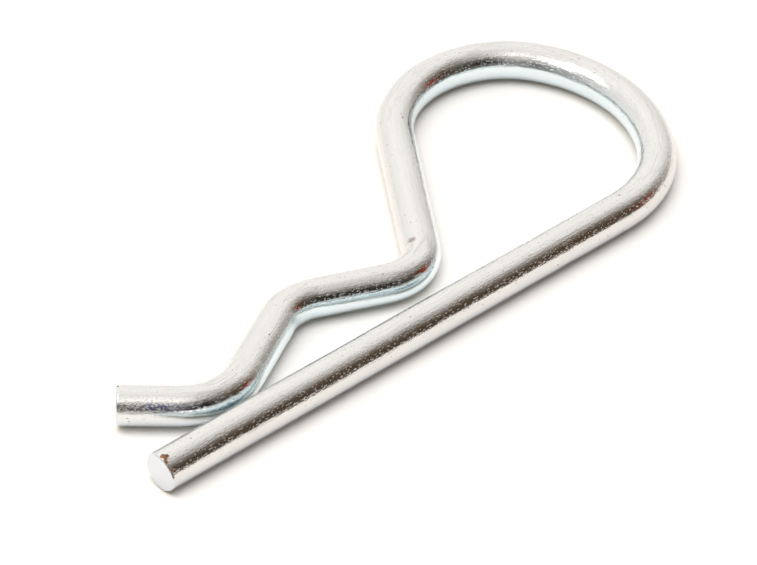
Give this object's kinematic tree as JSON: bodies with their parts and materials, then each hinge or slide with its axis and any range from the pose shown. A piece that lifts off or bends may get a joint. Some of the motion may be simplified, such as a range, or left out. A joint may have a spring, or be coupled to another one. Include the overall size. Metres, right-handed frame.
{
  "type": "hitch r clip pin",
  "caption": "Bent spring-wire R clip with a straight leg for a shaft's cross-hole, a looped bow to pull, and a humped leg that clasps the shaft.",
  "frame": {"origin": "on the straight leg's axis, under the crest of the bent leg, where the axis of a clasped shaft crosses it", "axes": "+X along the straight leg from its tip towards the bow, +Y from the straight leg towards the bent leg, +Z square to the plane that the wire is bent in"},
  "size_m": [0.0916, 0.0405, 0.005],
  "materials": {
    "zinc_wire": "bright zinc-plated drawn wire with fine draw lines and small pits"
  },
  "bodies": {
    "root": {"clip_wire": "zinc_wire"}
  },
  "joints": []
}
